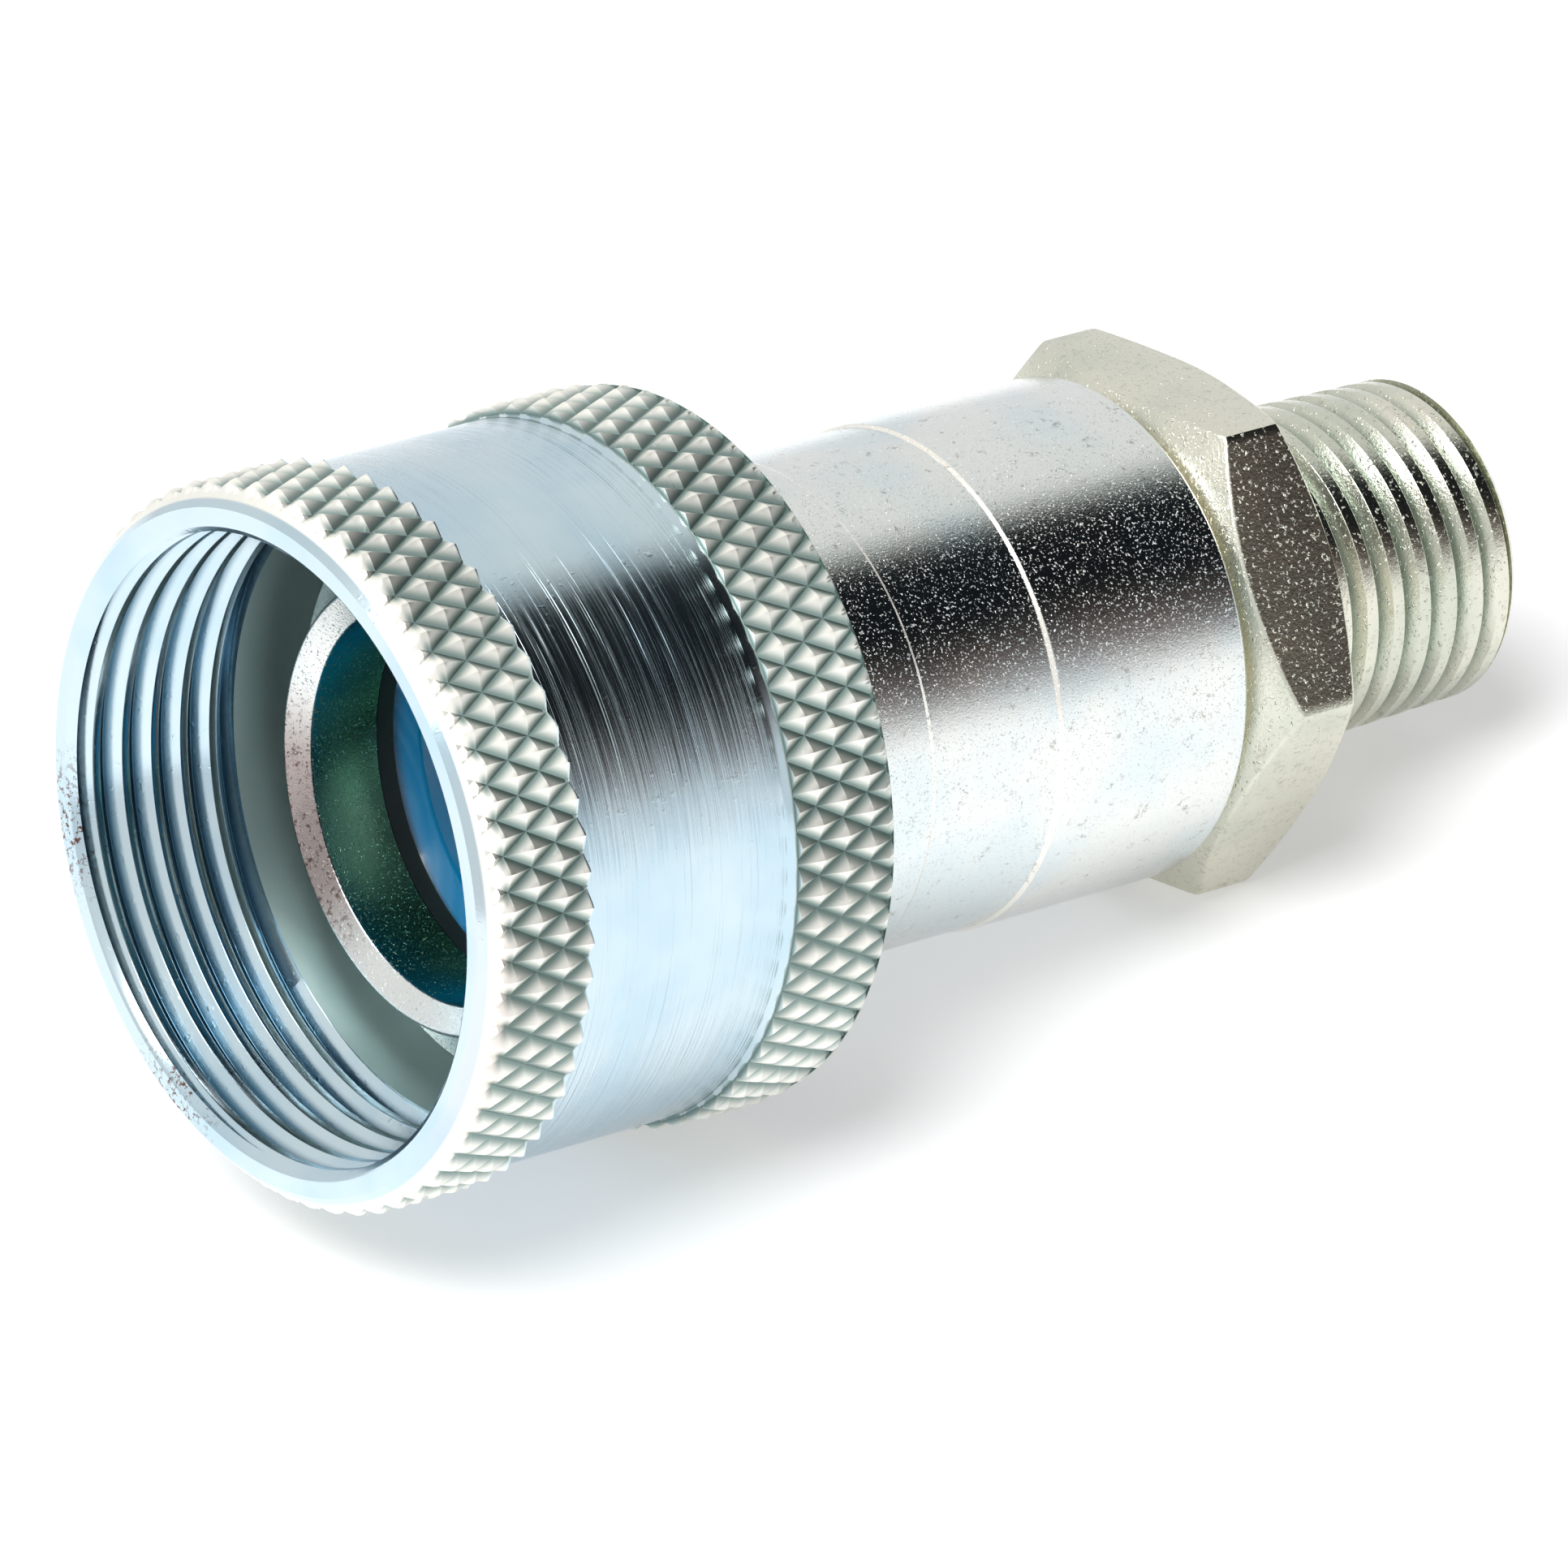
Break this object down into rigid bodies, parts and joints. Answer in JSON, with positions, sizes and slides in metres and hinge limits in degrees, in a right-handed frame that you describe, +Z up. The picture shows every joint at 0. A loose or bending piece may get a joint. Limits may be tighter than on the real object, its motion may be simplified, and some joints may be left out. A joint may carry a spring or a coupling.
{
  "type": "hydraulic coupler half",
  "caption": "Hydraulic coupler half: knurled union collar that spins on a bored socket body with a spring-loaded poppet valve, and a hexagon adapter with tapered pipe thread.",
  "frame": {"origin": "centre of the footprint on the floor that the coupler lies on", "axes": "+X from the collar's mouth towards the pipe thread, +Z up; the centre line slopes down to the rear as the coupler lies on the collar's rear rim and one hexagon flat"},
  "size_m": [0.0606, 0.0292, 0.0317],
  "materials": {
    "plated_collar": "clear-blue zinc plated, knurled and fine-turned",
    "plated_body": "zinc plated, fine-turned",
    "plated_adapter": "zinc plated with a faint yellow tint",
    "plated_steel": "zinc plated",
    "spring_steel": "phosphated",
    "blue_seal": "glossy polyurethane",
    "black_rubber": "nitrile",
    "dark_plastic": "filled fluoropolymer"
  },
  "bodies": {
    "body": {"socket_body": "plated_body", "thrust_washer": "plated_steel", "collar_retaining_ring": "spring_steel", "seal_backup_ring": "dark_plastic", "rod_seal": "blue_seal", "seal_loader_ring": "black_rubber", "valve_spring": "spring_steel", "valve_guide": "plated_steel", "guide_retaining_ring": "spring_steel", "adapter": "plated_adapter", "adapter_o_ring": "black_rubber", "adapter_backup_ring": "dark_plastic"},
    "collar": {"union_collar": "plated_collar"},
    "poppet": {"valve_poppet": "plated_steel", "poppet_nose": "plated_steel", "poppet_seal": "black_rubber"}
  },
  "joints": [
    {"name": "collar_spin", "type": "hinge", "parent": "body", "child": "collar", "pos_m": [-0.02802, 0, 0.01752], "axis": [0.9861, 0, -0.1661], "continuous": true},
    {"name": "poppet_slide", "type": "slide", "parent": "body", "child": "poppet", "axis": [0.9861, 0, -0.1661], "range_m": [0, 0.0035], "stiffness_N_per_m": 3500, "springref_m": -0.005, "deforming": ["valve_spring"]}
  ]
}
